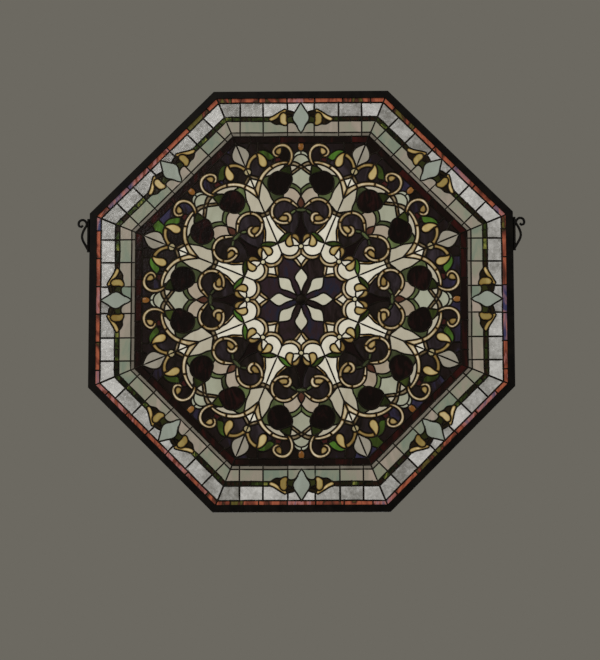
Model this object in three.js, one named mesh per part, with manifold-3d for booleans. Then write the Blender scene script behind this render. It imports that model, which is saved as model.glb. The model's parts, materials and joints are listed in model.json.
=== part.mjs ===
// Octagonal leaded glass panel in a metal channel frame, made to hang from two bent rod hooks.
// Millimetres, +Z up, the panel's front faces -Y.  The origin lies midway between the two hooks,
// at the top of their loops, where the hanging chain or wire bears.
import * as THREE from "three";
import { mergeVertices } from "three/addons/utils/BufferGeometryUtils.js";
import Module from "manifold-3d";

const wasm = await Module();
wasm.setup();

// ---- driving dimensions ------------------------------------------------------------------
const SIDES = 8;
const ACROSS_FLATS = 914.4;      // 36 inches over the frame
const HANG_ABOVE_CENTRE = 156;   // hook bearing height over the panel's centre
const GAP = 0.3;                 // clearance kept between touching pieces

const FRAME_FACE = 15.8;         // width of the channel seen from the front
const FRAME_DEPTH = 12;          // front to back
const FRAME_WALL = 2.5;
const FRAME_CHAMFER = 0.8;

const GLASS = 3;                 // sheet glass thickness
const LEAD_WIDTH = 4;            // face width of a lead line
const LEAD_DEPTH = 5.5;          // front bead to back bead
const EDGE_LEAD_IN = 445;        // apothem where the lead round the panel's rim ends

// Apothems of the border's lead lines, from the rim inwards.
const EDGE_LINE = 432.5;         // coloured edge strip | clear band
const CLEAR_LINE = 401;          // clear band | vine band
const VINE_LINE = 391.6;         // vine band | pale band
const PALE_LINE = 366.1;         // pale band | dark red band
const FIELD_LINE = 343;          // dark red band | rosette

const FLOWER_HALF_WIDTH = 18;   // border flower, widest on the clear line
const PETAL = { root: 15, widest: 46, tip: 68, halfWidth: 14 };
const HUB_RADIUS = 14;           // solder disc at the star's centre
const ROSE = { along: 254.5, aside: 45.5, radius: 26.5, sides: 8 };
const SCROLL = { along: 192, aside: 37, radius: 30.5, sides: 8 };
const LEAF = { foot: 313, widest: 343, tip: 366, halfWidth: 17 };

const ROD_RADIUS = 2.8;          // hook rod
const ROD_SIDES = 6;
const HOOK_LEG = { bottom: 105, top: 178 };

// ---- plane geometry: u runs to the right and v upwards from the panel's centre ------------
const SECTOR = (2 * Math.PI) / SIDES;
const HALF_SECTOR = SECTOR / 2;

// A point given by its distance along a side's axis and its distance aside of it.
function onSide(side, along, aside) {
  return new THREE.Vector2(along, aside).rotateAround(new THREE.Vector2(), side * SECTOR);
}

// The corner after a side, on the octagon of the given apothem.
function corner(side, apothem) {
  return onSide(side, apothem, apothem * Math.tan(HALF_SECTOR));
}

// A point on the line from the centre to the corner after a side.
function onCornerLine(side, distance, aside = 0) {
  const origin = new THREE.Vector2();
  return new THREE.Vector2(distance, aside).rotateAround(origin, side * SECTOR + HALF_SECTOR);
}

function octagon(apothem) {
  return everySide((side) => corner(side, apothem));
}

function everySide(make) {
  return Array.from({ length: SIDES }, (_, side) => make(side));
}

// The regular polygon of a round piece, with a flat turned to the panel's centre.
function roundPiece(side, piece, hand) {
  const centre = onSide(side, piece.along, hand * piece.aside);
  const start = centre.angle() + Math.PI / piece.sides;
  return Array.from({ length: piece.sides }, (_, i) => {
    const angle = start + (2 * Math.PI * i) / piece.sides;
    return new THREE.Vector2(Math.cos(angle), Math.sin(angle)).multiplyScalar(piece.radius).add(centre);
  });
}

// Moves every edge of a counter-clockwise outline outwards (or inwards when negative).
function offset(outline, distance) {
  return outline.map((point, i) => {
    const before = outline.at(i - 1);
    const after = outline[(i + 1) % outline.length];
    return mitre(before, point, after, distance);
  });
}

function rightNormal(from, to) {
  return new THREE.Vector2(to.y - from.y, from.x - to.x).normalize();
}

function mitre(before, point, after, distance) {
  const first = rightNormal(before, point);
  const second = rightNormal(point, after);
  const reach = distance / (1 + first.dot(second));
  return first.add(second).multiplyScalar(reach).add(point);
}

// ---- solids ------------------------------------------------------------------------------
function solid(geometry) {
  const bare = geometry.clone();
  bare.deleteAttribute("normal");
  bare.deleteAttribute("uv");
  const merged = mergeVertices(bare, 1e-4);
  return new wasm.Manifold(new wasm.Mesh({
    numProp: 3,
    vertProperties: new Float32Array(merged.attributes.position.array),
    triVerts: new Uint32Array(merged.index.array),
  }));
}

// A flat piece standing in the panel's plane, between two depths (front is negative).
function slab(outline, front, back, holes = []) {
  const shape = new THREE.Shape(outline);
  for (const hole of holes) {
    shape.holes.push(new THREE.Path(hole));
  }
  const geometry = new THREE.ExtrudeGeometry(shape, { depth: back - front, bevelEnabled: false });
  geometry.rotateX(Math.PI / 2);
  geometry.translate(0, back, 0);
  return solid(geometry);
}

function union(solids) {
  return solids.reduce((whole, next) => whole.add(next));
}

// ---- outlines of the glass, drawn on the lead lines' middles ------------------------------
// One half of the border flower's ogee, from its inner tip to its widest point and out again.
const FLOWER_IN = new THREE.CubicBezierCurve(
  new THREE.Vector2(PALE_LINE, 0),
  new THREE.Vector2(PALE_LINE + 16, 8),
  new THREE.Vector2(CLEAR_LINE - 12, FLOWER_HALF_WIDTH),
  new THREE.Vector2(CLEAR_LINE, FLOWER_HALF_WIDTH),
).getPoints(2);
const FLOWER_OUT = new THREE.CubicBezierCurve(
  new THREE.Vector2(CLEAR_LINE, FLOWER_HALF_WIDTH),
  new THREE.Vector2(CLEAR_LINE + 12, FLOWER_HALF_WIDTH),
  new THREE.Vector2(EDGE_LINE - 14, 8),
  new THREE.Vector2(EDGE_LINE, 0),
).getPoints(2);

function along(side, points, hand = 1) {
  return points.map((point) => onSide(side, point.x, hand * point.y));
}

function flower(side) {
  const inner = FLOWER_IN.slice(0, -1);
  const outer = FLOWER_OUT.slice(0, -1);
  const near = along(side, [...inner, ...outer], -1);
  const far = along(side, [...inner.slice(1), ...FLOWER_OUT], 1).reverse();
  return [...near, ...far];
}

// The clear band between two border flowers, bent round a corner.
function clearBand(side) {
  const start = along(side, FLOWER_OUT);
  const end = along(side + 1, FLOWER_OUT, -1).reverse();
  return [...start, corner(side, EDGE_LINE), ...end, corner(side, CLEAR_LINE)];
}

// The vine and pale bands between two border flowers, bent round a corner.
function paleBand(side) {
  const start = along(side, FLOWER_IN);
  const end = along(side + 1, FLOWER_IN, -1).reverse();
  return [...start, corner(side, CLEAR_LINE), ...end, corner(side, PALE_LINE)];
}

function petal(side) {
  const { root, widest, tip, halfWidth } = PETAL;
  const edge = [
    new THREE.Vector2(widest, halfWidth),
    new THREE.Vector2(widest + (tip - widest) * 0.55, halfWidth * 0.66),
  ];
  const near = along(side, edge, -1);
  const far = along(side, edge).reverse();
  return [onSide(side, root, 0), ...near, onSide(side, tip, 0), ...far];
}

function hub() {
  return Array.from({ length: 2 * SIDES }, (_, i) => {
    const angle = (i * Math.PI) / SIDES;
    return new THREE.Vector2(Math.cos(angle), Math.sin(angle)).multiplyScalar(HUB_RADIUS);
  });
}

const petals = everySide(petal);
const flowers = everySide(flower);
const clearBands = everySide(clearBand);
const paleBands = everySide(paleBand);
const roses = everySide((side) => [roundPiece(side, ROSE, 1), roundPiece(side, ROSE, -1)]).flat();

// ---- glass: each region stops half a lead line plus the clearance from the line's middle ---
function regions(clearance, front, back) {
  const inset = -(LEAD_WIDTH / 2 + clearance);
  const pane = (outline) => slab(offset(outline, inset), front, back);
  const ring = (outer, inner) => slab(outer, front, back, [offset(octagon(inner), -inset)]);
  const islands = [hub(), ...petals, ...roses].map((outline) => offset(outline, -inset));
  return {
    petals: petals.map(pane),
    flowers: flowers.map(pane),
    clearBands: clearBands.map(pane),
    paleBands: paleBands.map(pane),
    roses: roses.map(pane),
    edgeStrip: ring(offset(octagon(EDGE_LEAD_IN), -clearance), EDGE_LINE),
    redBand: ring(offset(octagon(PALE_LINE), inset), FIELD_LINE),
    ground: islands.reduce((plate, island) => plate.subtract(slab(island, front - 1, back + 1)),
      slab(offset(octagon(FIELD_LINE), inset), front, back)),
  };
}

// ---- lead --------------------------------------------------------------------------------
const LEAD_FRONT = -LEAD_DEPTH / 2;
const LEAD_OVER_GLASS = -(GLASS / 2 + GAP);

// A bead over the glass's front, along a line of points.
function bead(points) {
  const side = LEAD_WIDTH / 2;
  const last = points.length - 1;
  const shift = (point, i, distance) => mitre(
    i > 0 ? points[i - 1] : point.clone().multiplyScalar(2).sub(points[1]),
    point,
    i < last ? points[i + 1] : point.clone().multiplyScalar(2).sub(points[last - 1]),
    distance,
  );
  const right = points.map((point, i) => shift(point, i, side));
  const left = points.map((point, i) => shift(point, i, -side)).reverse();
  return slab([...right, ...left], LEAD_FRONT, LEAD_OVER_GLASS);
}

function beadLoop(outline) {
  const hole = offset(outline, -LEAD_WIDTH / 2);
  return slab(offset(outline, LEAD_WIDTH / 2), LEAD_FRONT, LEAD_OVER_GLASS, [hole]);
}

// Both sides of a lily, whose foot is on the corner line.
function lily(side, hand) {
  const lower = [[192, 79.5], [212, 61], [242, 71], [258, 84]];
  const upper = [[258, 84], [222, 92]];
  return [lower, upper].map((line) => bead(line.map(([x, y]) => onSide(side, x, hand * y))));
}

function leaf(side) {
  const { foot, widest, tip, halfWidth } = LEAF;
  return beadLoop([
    onCornerLine(side, foot),
    onCornerLine(side, widest, -halfWidth),
    onCornerLine(side, tip),
    onCornerLine(side, widest, halfWidth),
  ]);
}

function beadsOfSide(side) {
  const hands = [1, -1];
  return [
    bead([onCornerLine(side, HUB_RADIUS - 2), corner(side, FIELD_LINE)]),
    bead([corner(side, FIELD_LINE), corner(side, EDGE_LEAD_IN + 1)]),
    leaf(side),
    ...hands.flatMap((hand) => [
      ...lily(side, hand),
      beadLoop(roundPiece(side, SCROLL, hand)),
    ]),
  ];
}

function leadMatrix() {
  const panes = Object.values(regions(0, LEAD_FRONT - 1, -LEAD_FRONT + 1)).flat();
  const rim = slab(octagon(ACROSS_FLATS / 2 - FRAME_WALL - GAP), LEAD_FRONT, -LEAD_FRONT);
  const network = panes.reduce((plate, pane) => plate.subtract(pane), rim);
  const drawing = union([beadLoop(octagon(VINE_LINE)), ...everySide(beadsOfSide).flat()]);
  const insideFlowers = flowers.map((outline) => offset(outline, -LEAD_WIDTH / 2));
  const flowerCut = union(insideFlowers.map((outline) => slab(outline, LEAD_FRONT - 1, 0)));
  return network.add(drawing.subtract(flowerCut));
}

// ---- frame: one channel mitred at the eight corners ---------------------------------------
function frame() {
  const toCorner = 1 / Math.cos(HALF_SECTOR);
  const outer = ACROSS_FLATS / 2;
  const inner = outer - FRAME_FACE;
  const root = outer - FRAME_WALL;
  const y = FRAME_DEPTH / 2;
  const lip = y - FRAME_WALL;
  const c = FRAME_CHAMFER;
  const section = [
    [inner, -lip], [root, -lip], [root, lip], [inner, lip], [inner, y - c], [inner + c, y],
    [outer - c, y], [outer, y - c], [outer, c - y], [outer - c, -y], [inner + c, -y], [inner, c - y],
    [inner, -lip],
  ];
  const points = section.reverse().map(([r, depth]) => new THREE.Vector2(r * toCorner, depth));
  return solid(new THREE.LatheGeometry(points, SIDES, HALF_SECTOR));
}

// ---- hooks: a rod welded along the frame's side, bowed out into a loop and curled ---------
function hook(hand) {
  const legX = ACROSS_FLATS / 2 + GAP + ROD_RADIUS;
  const section = new THREE.Shape(Array.from({ length: ROD_SIDES }, (_, i) => {
    const angle = ((i + 0.5) * 2 * Math.PI) / ROD_SIDES;
    return new THREE.Vector2(Math.cos(angle), Math.sin(angle)).multiplyScalar(ROD_RADIUS);
  }));
  const at = (x, z) => new THREE.Vector3(hand * x, 0, z);
  const rod = (path, steps) => solid(new THREE.ExtrudeGeometry(section, { steps, extrudePath: path }));
  const leg = rod(new THREE.LineCurve3(at(legX, HOOK_LEG.bottom), at(legX, HOOK_LEG.top)), 1);
  const bow = new THREE.CatmullRomCurve3([
    at(legX, 110), at(466.6, 121), at(472, 131), at(474, 140), at(472, 149), at(467.8, 158),
    at(463.9, 165), at(465.4, 171.5), at(471.3, 176), at(478.3, 174.4), at(481.6, 168.5),
    at(480, 162.4), at(475.4, 160.6), at(472.4, 164.2),
  ], false, "centripetal");
  return leg.add(rod(bow, 22));
}

// ---- the model ---------------------------------------------------------------------------
const finishes = {
  frame: { color: 0x17130f, roughness: 0.5, metalness: 0.8 },
  hook: { color: 0x120f0c, roughness: 0.45, metalness: 0.8 },
  lead: { color: 0x2a231b, roughness: 0.45, metalness: 0.85 },
  clear: { color: 0xe4e6e0, roughness: 0.15, metalness: 0 },
  pale: { color: 0xa9ac93, roughness: 0.2, metalness: 0 },
  edge: { color: 0x9a5a3c, roughness: 0.2, metalness: 0 },
  red: { color: 0x3a120e, roughness: 0.2, metalness: 0 },
  rose: { color: 0x2c0c0e, roughness: 0.2, metalness: 0 },
  flower: { color: 0xaab2ac, roughness: 0.25, metalness: 0 },
  star: { color: 0xddd8ca, roughness: 0.25, metalness: 0 },
  ground: { color: 0x4a4348, roughness: 0.2, metalness: 0 },
};

const panel = new THREE.Group();
panel.position.z = -HANG_ABOVE_CENTRE;

function place(name, shape, finish) {
  const { vertProperties, triVerts } = shape.getMesh();
  const geometry = new THREE.BufferGeometry();
  geometry.setAttribute("position", new THREE.BufferAttribute(vertProperties, 3));
  geometry.setIndex(new THREE.BufferAttribute(triVerts, 1));
  geometry.computeVertexNormals();
  const mesh = new THREE.Mesh(geometry, new THREE.MeshStandardMaterial(finishes[finish]));
  mesh.name = name;
  panel.add(mesh);
}

function placeEach(name, shapes, finish) {
  shapes.forEach((shape, i) => place(`${name}_${i + 1}`, shape, finish));
}

const glass = regions(GAP, -GLASS / 2, GLASS / 2);
place("frame", frame(), "frame");
place("hook_right", hook(1), "hook");
place("hook_left", hook(-1), "hook");
place("lead_matrix", leadMatrix(), "lead");
place("edge_strip_glass", glass.edgeStrip, "edge");
place("red_band_glass", glass.redBand, "red");
place("rosette_ground_glass", glass.ground, "ground");
placeEach("clear_band_glass", glass.clearBands, "clear");
placeEach("pale_band_glass", glass.paleBands, "pale");
placeEach("border_flower_glass", glass.flowers, "flower");
placeEach("star_petal_glass", glass.petals, "star");
placeEach("rose_glass", glass.roses, "rose");

const model = new THREE.Group();
model.add(panel);
export default model;
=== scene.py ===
# %% [markdown]
# # An eight-sided leaded glass panel
#
# A stained glass window is a drawing made of lead. The glazier draws every lead line full
# size on a sheet called the cartoon, cuts one piece of glass for each shape between the
# lines, slips the pieces into strips of H-shaped lead called came, and solders each
# crossing. This lesson follows the same order: the drawing, the glass, the lead, the
# solder and the hooks, then the finishes, the room and the camera.
#
# The packed model gives the frame, and its middle gives the panel's centre. The drawing is
# in millimetres round that centre, x to the right and y up, seen from the front.

# %% The packed model
import json
import math
import random
from collections import defaultdict

import bpy
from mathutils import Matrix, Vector, noise
from mathutils.geometry import delaunay_2d_cdt

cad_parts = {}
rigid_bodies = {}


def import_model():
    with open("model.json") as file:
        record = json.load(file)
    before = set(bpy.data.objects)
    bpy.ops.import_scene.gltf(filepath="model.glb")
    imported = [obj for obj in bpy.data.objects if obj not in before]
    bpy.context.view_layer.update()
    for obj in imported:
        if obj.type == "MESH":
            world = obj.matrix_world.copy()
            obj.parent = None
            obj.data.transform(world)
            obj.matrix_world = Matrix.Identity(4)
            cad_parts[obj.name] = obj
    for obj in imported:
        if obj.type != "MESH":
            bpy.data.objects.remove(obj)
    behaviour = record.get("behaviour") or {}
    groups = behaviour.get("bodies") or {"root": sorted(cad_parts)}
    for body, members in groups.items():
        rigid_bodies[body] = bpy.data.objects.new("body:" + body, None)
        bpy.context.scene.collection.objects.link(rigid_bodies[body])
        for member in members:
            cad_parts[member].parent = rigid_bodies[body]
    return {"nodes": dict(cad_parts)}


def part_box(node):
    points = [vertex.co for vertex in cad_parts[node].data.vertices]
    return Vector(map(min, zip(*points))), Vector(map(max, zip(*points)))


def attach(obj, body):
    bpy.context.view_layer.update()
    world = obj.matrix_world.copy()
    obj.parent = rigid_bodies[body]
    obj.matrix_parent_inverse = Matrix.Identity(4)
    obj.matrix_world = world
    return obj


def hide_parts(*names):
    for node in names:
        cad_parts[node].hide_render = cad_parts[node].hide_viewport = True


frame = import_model()
for spare in [o for o in bpy.data.objects if o.name in ("Cube", "Light", "Camera")]:
    bpy.data.objects.remove(spare)           # what a new file starts with
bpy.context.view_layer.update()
shuffle = random.Random(8)
frame_low, frame_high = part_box("frame")
MM = 1000                        # millimetres in a metre
CENTRE_Z = (frame_low.z + frame_high.z) / 2
print(f"panel centre {CENTRE_Z * MM:.0f} mm, {len(frame['nodes'])} packed pieces")


# %% [markdown]
# ## Drawing with smooth lines and arcs
#
# A lead strip bends like a spline, so a lead line is best given by a few points on it.
# `smooth` runs a Catmull-Rom curve through them and `arc` draws part of a circle; both
# return short straight steps. Much of the ornament mirrors across a line that runs from
# the centre to a corner, so `on_corner` turns "this far along the corner line, this far
# beside it" into x and y.

# %% Lines, arcs and the corner line
STEP = 4.0                       # longest straight step along a curve
HALF_SIDE = math.pi / 8          # angle between the middle of a side and a corner


def smooth(*points, closed=False):
    if closed:
        held = [points[-1], *points, points[0], points[1]]
    else:
        (ax, ay), (bx, by) = points[:2]
        (yx, yy), (zx, zy) = points[-2:]
        held = [(2 * ax - bx, 2 * ay - by), *points, (2 * zx - yx, 2 * zy - yy)]
    drawn = []
    for before, start, end, after in zip(held, held[1:], held[2:], held[3:]):
        steps = max(1, round(math.dist(start, end) / STEP))
        for u in (i / steps for i in range(steps)):
            drawn.append(tuple(
                (2 * b + (c - a) * u + (2 * a - 5 * b + 4 * c - d) * u ** 2
                 + (3 * b - a - 3 * c + d) * u ** 3) / 2
                for a, b, c, d in zip(before, start, end, after)))
    return drawn + [held[-2]]


def arc(centre, radius, start, end, step=STEP):
    steps = max(2, round(math.radians(abs(end - start)) * radius / step))
    angles = (math.radians(start + (end - start) * i / steps) for i in range(steps + 1))
    return [(centre[0] + radius * math.cos(a), centre[1] + radius * math.sin(a))
            for a in angles]


def on_corner(along, aside=0.0):
    return (along * math.cos(HALF_SIDE) - aside * math.sin(HALF_SIDE),
            along * math.sin(HALF_SIDE) + aside * math.cos(HALF_SIDE))


def corner_line(*places):
    return [on_corner(*place) for place in places]


print("a quarter circle 40 mm across has", len(arc((0, 0), 20, 0, 90)) - 1, "steps")

# %% [markdown]
# ## The cartoon
#
# The panel is the same eight times round, and each eighth is the same on both sides of its
# middle. So only one sixteenth is drawn: the wedge between the middle of the right-hand
# side, where y is 0, and the corner above it. Every line below is the middle of one lead.
# A line that ends on another one is drawn a little past it, because the stub is trimmed
# later, as a glazier trims the came.

# %% The star and the ribbons round it
HUB = 11.0
PEARL = (115.7, 0)
leads = {
    "hub": arc((0, 0), HUB, 0, 22.5),
    "star petal": smooth((10.7, 0), (22, 2.8), (30, 5.6), (37, 9), (42, 12.4), (47, 14),
                         (53, 12.6), (60, 7.8), (69, 0)),
    "star ribbon, inside": smooth((68.5, 0), (74, 7), (80.5, 11.8), (85.5, 17), (88, 22)),
    "star ribbon, outside": smooth((75.5, 0), (80.5, 3.2), (86, 7.2), (91, 10.8),
                                   (97, 15.2)),
    "crescent ribbon, inside": smooth((99.5, 0), (95.5, 4), (91.5, 9.5), (88.3, 15),
                                      (87, 21.5), (87.6, 29), (90.3, 35.5), (95.8, 40.6)),
    "crescent ribbon, outside": smooth((113.2, 3.6), (104, 7.6), (98.2, 13.5), (95.6, 21),
                                       (95.8, 29), (97.8, 36), (102.6, 43.4)),
    "between the star ribbons": [(68, 0), (76.5, 0)],
    "between the crescent ribbons": [(99, 0), (111.4, 0)],
    "pearl": arc(PEARL, 5.3, 0, 180, step=1.5),
}
print(len(leads), "lead lines in the star")

# %% The crescent, the bud and its leaves
leads |= {
    "crescent's end": smooth((122.3, 50.66), (124.4, 44), (126.6, 38.5), (131, 32.6),
                             (137.3, 28.2), (142, 23), (144.3, 17.5)),
    "round bud": smooth((131, 32.6), (124.5, 33.8), (117.3, 30.6), (114.9, 24),
                        (118.2, 16.8), (123, 17), (128, 18.4), (135, 19.8), (145.5, 19.2)),
    "crescent's foot": smooth((118.2, 16.8), (117.2, 11.5), (118.3, 4.2)),
    "between the small leaves": smooth((120.3, 2), (126.5, 7.2), (132, 12.3), (136.3, 20)),
    "small leaf's back": smooth((120.8, 1.2), (130, 2.4), (138, 4.4), (143.8, 10),
                                (144.6, 15), (142.5, 20)),
    "green leaf's back": smooth((122.3, 50.66), (131, 46), (138.3, 40), (143.8, 33),
                                (146.5, 25.5), (144.2, 17.5)),
    "tail's edge": smooth((142, 33), (151, 42.7), (159.5, 51.5), (172, 58.6)),
    "tail's ribbon": smooth((144.8, 26.5), (152, 36), (158.5, 43.8), (166, 49.8)),
    "field over the stem": smooth((143.4, 14.4), (151.5, 11.5), (160, 7.5), (172, 4.3),
                                  (184, 3.2), (192.6, 3.5)),
}
print(len(leads), "with the crescent and the bud")

# %% The inner scroll
SCROLL = (192.8, 37)
SCROLL_OUT, SCROLL_IN = 30.3, 22.3


def scroll_cut(angle):
    across = Vector((math.cos(math.radians(angle)), math.sin(math.radians(angle))))
    return [tuple(Vector(SCROLL) + across * r)
            for r in (SCROLL_IN - 0.5, SCROLL_OUT + 0.6)]


leads |= {
    "scroll's back": smooth(*arc(SCROLL, SCROLL_OUT, -45, 190, step=9), (164.5, 26.5),
                            (168.5, 22), (173.5, 19.2), (179, 18.5), (184.5, 20),
                            (189.2, 23.8), (191.8, 29), (191.4, 34.5), (189, 38.8),
                            (184.8, 40.8)),
    "scroll's root, outside": smooth((200, 1.4), (206, 7.4),
                                     *arc(SCROLL, SCROLL_OUT, -45, -40, step=9)),
    "scroll's belly": smooth((198.6, 6.5), (203.5, 13.5),
                             *arc(SCROLL, SCROLL_IN, -40, 178, step=9), (170.8, 32.3),
                             (172.6, 28.8), (176.8, 27.6), (181.3, 28.5), (184, 31.8),
                             (183.9, 36.5), (184.8, 40.8)),
    "scroll cut, upper left": scroll_cut(123),
    "scroll cut, upper right": scroll_cut(47),
    "scroll cut, lower right": scroll_cut(-38),
    "scroll cut, lower left": [(165.5, 24), (172.6, 30)],
    "scroll's bud": smooth((184.8, 40.8), (181.5, 45.3), (177, 49.4), (172.5, 50.6)),
    "stem, left": smooth((191, 0), (191.6, 6), (193, 10.5)),
    "stem's shoot, left": smooth((193, 10.5), (188.6, 14.5), (184.4, 21.4)),
    "stem, right": smooth((200.2, 0), (200.2, 5), (197.8, 12), (195.5, 17.5),
                          (188.8, 26.2)),
    "stem's joint": [(191.2, 9.8), (199.6, 12.6)],
    "spindle": smooth((200.2, 1.2), (204.5, 6), (210, 7.4), (216, 5.8), (226, 0)),
}
print(len(leads), "with the inner scroll")

# %% The lily, the rose and its sepals
leads |= {
    "knot under the lily, inside": corner_line((197.5, 1), (197.5, -11)),
    "knot under the lily, outside": corner_line((206.5, 1), (206.5, -13)),
    "lily's underside": smooth((190.4, 76.6), (203, 67.2), (212.9, 59.4), (222, 64.3),
                               (232, 67.8), (240, 71.8), (246.5, 76.5), (252.5, 81),
                               (258.8, 84.4), (260.6, 85.3)),
    "lily's top": smooth((217.5, 91.2), (235, 89.4), (248, 87.3), (258.8, 84.4),
                         (260.8, 83.9)),
    "rose": smooth((229.3, 46), (231, 56), (237, 65), (246, 70.2), (256, 71.4),
                   (266, 69.4), (274.3, 63.3), (279.8, 54), (280.6, 46), (277.8, 37),
                   (275, 28), (271, 21), (263, 18.8), (255, 20.6), (246.5, 25.6),
                   (237.5, 30), (231.5, 37), closed=True),
    "sepal beside the scroll": [(221.5, 38.7), (232.5, 36.8)],
    "sepals' meeting": [(237, 63.6), (234.6, 70.6)],
    "outer sepal's foot": smooth((270, 20.6), (279.4, 21.6), (287, 22.4), (296.5, 24.2)),
    "outer sepal's back": smooth((294.2, 23), (292.8, 29.5), (290, 35.7), (286, 41.5),
                                 (279.6, 47)),
    "sliver's lower end": [(287.6, 38.4), (298, 32.8)],
    "sliver's lower tip": [(292.2, 29), (298, 29.8)],
    "sliver's upper end": smooth((267.2, 81.8), (270.6, 72.5), (272.2, 63.5)),
}
print(len(leads), "with the lily and the rose")

# %% The arcs and crossing ribbons on a side's middle line
leads |= {
    "green arc, inside": smooth((226, 0), (233.5, 4.6), (239.8, 11), (243.8, 18),
                                (245.5, 28)),
    "green arc, outside": smooth((241.5, 0), (247, 6.5), (252, 13.5), (255.4, 22.5)),
    "green arcs' meeting": [(226, 0), (241.5, 0)],
    "crossing ribbon, lower edge": smooth((271.2, 21.4), (279, 11), (287.5, 0)),
    "crossing ribbon, upper edge": smooth((279.2, 22.2), (284.5, 14.2), (290.5, 7.5)),
    "second ribbon, lower edge": smooth((290.5, 7.5), (293.3, 13.5), (294.2, 23.5)),
    "second ribbon, upper edge": smooth((295, 0), (299.7, 7), (302, 12.5), (303.4, 20)),
    "ribbons' crossing": [(287.5, 0), (290.5, 7.5), (295, 0)],
    "end tile": smooth((304.4, 18.6), (312, 13.6), (316.6, 8), (318.8, 0)),
    "white arc": smooth((312.2, 17), (320, 13.6), (324.4, 8.5), (326.5, 2.2)),
    "white arcs' meeting": [(318.2, 0), (325.4, 0)],
    "amber jewel": smooth((324.8, 0), (327, 4.7), (332, 7), (338.5, 7), (344.5, 4.6)),
}
print(len(leads), "with the arcs and the crossing ribbons")

# %% The great ring, its scroll and bud
leads |= {
    "great ring, inside": smooth(
        (256.9, 85), (258.8, 84.4), (267.5, 80.3), (276.5, 73.5), (284.5, 64.5),
        (291, 54), (295, 43), (296.8, 33), (297, 29.5), (303, 26.6), (310, 24.2),
        (318, 23.7), (325.5, 26), (331.3, 31), (334.2, 38), (333.8, 46.3), (330, 53),
        (324.5, 56), (320, 54.8), (317.3, 50.5), (316.5, 45.5)),
    "great ring, outside": smooth((260.6, 93.8), (270, 90), (280.5, 82.5), (290, 72.5),
                                  (297.5, 60.5), (302, 48), (304, 36), (303.4, 24.6)),
    "outer scroll's back": smooth(
        (293.2, 25.5), (298.5, 20.8), (306, 17.3), (314, 15.8), (322, 16.2), (331, 19.8),
        (338.3, 26), (342.4, 34), (342.8, 42), (340.6, 50.5), (336, 57.5), (329, 62.6),
        (322, 63.6), (315.5, 60.3), (311.6, 54.5), (311.4, 48.5), (316.5, 45.5)),
    "ring cut at the lily": [(258.6, 83.8), (261.8, 94.6)],
    "ring cut, middle": [(286.5, 60.2), (294.5, 67)],
    "outer scroll's bud": smooth((316.5, 45.5), (320.5, 42.3), (327, 41), (335.2, 41.9)),
    "red piece, lower": smooth((301.6, 43.4), (308, 42.6), (313.6, 48.4)),
    "red piece, upper": smooth((298, 57.6), (306, 56.4), (313.8, 55.6)),
    "field beside the ring": smooth((296.4, 59), (303, 64), (307.6, 62.6)),
}
print(len(leads), "with the great ring")

# %% The outer leaves and the pieces on the corner line
FIELD = 343                      # from the centre to the middle of the field's side
leads |= {
    "ochre leaf": smooth((322, 97), (313, 94), (306, 93), (298, 92), (291.5, 87.5),
                         (289, 80.8), (291.5, 74.8), (298, 72.3), (305, 73.5),
                         (312, 77.3), (318, 83.8), (321.6, 91), (322, 97)),
    "amber arm, outside": smooth(on_corner(313), (298, 117.4), (307, 113.5), (315, 107),
                                 (320, 100.6), (321.6, 93)),
    "amber arm, inside": smooth((282.4, 109.6), (292, 109.8), (300, 107), (306.5, 102.5),
                                (311, 96.5), (312, 91.4)),
    "outer green leaf, left": smooth((311.8, 56.5), (306, 63), (304.8, 70), (310, 78.2)),
    "outer green leaf, right": smooth((311.8, 56.5), (317.5, 62), (323, 69), (327, 77),
                                      (328, 85), (326, 92), (321.6, 97.5)),
    "field beside the leaf": [(323, 94), (344.5, 93.5)],
    "corner leaf": corner_line(*smooth((313, 0), (320, -5.8), (327, -11.8), (333, -17.3),
                                       (340, -19.5), (349, -17.8), (357, -12.5),
                                       (363, -6.5), (369, 0))),
    "field beside the corner leaf": [on_corner(348.4, -16.6), (344.5, 111.4)],
    "corner knot": corner_line(*smooth((294, 0.8), (296.5, -6.3), (302, -8.6),
                                       (307.5, -6), (309.6, 0.8))),
    "corner diamond, inside": corner_line(*smooth((260.6, 0.8), (269, -6), (277.6, -13.9))),
    "corner diamond, outside": corner_line(*smooth((276.6, -14.8), (282.3, -6.5),
                                                   (289.2, 0.8))),
    "corner ribbon": corner_line(*smooth((281, -20.2), (287.8, -11.8), (293, -5),
                                         (294.2, 0.8))),
    "corner line": corner_line((98,), (FIELD / math.cos(HALF_SIDE),)),
}
print(len(leads), "lead lines in the rosette")

# %% [markdown]
# ## The border
#
# Six straight bands run round the rosette. The leads between them are octagons, each given
# by its distance from the centre to the middle of a side, called the apothem. Short leads
# cut the bands into tiles, and a flower with two leaves on either hand sits across them at
# the middle of every side.

# %% Bands and their cuts
RED_BAND, PALE_LINE, VINE_IN, VINE_OUT, CLEAR_LINE, GLASS_EDGE = (
    357.4, 366.1, 391.6, 401, 432.5, 445)
RISE = math.tan(HALF_SIDE)       # a corner's height over the side's middle, per apothem
VINE_START = 65.5                # where the vine band comes out from under the leaf
PAST = 1                         # how far a line runs past the one it ends on


def across(y, start, end):
    return [(start - PAST, y), (end + PAST, y)]


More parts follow.
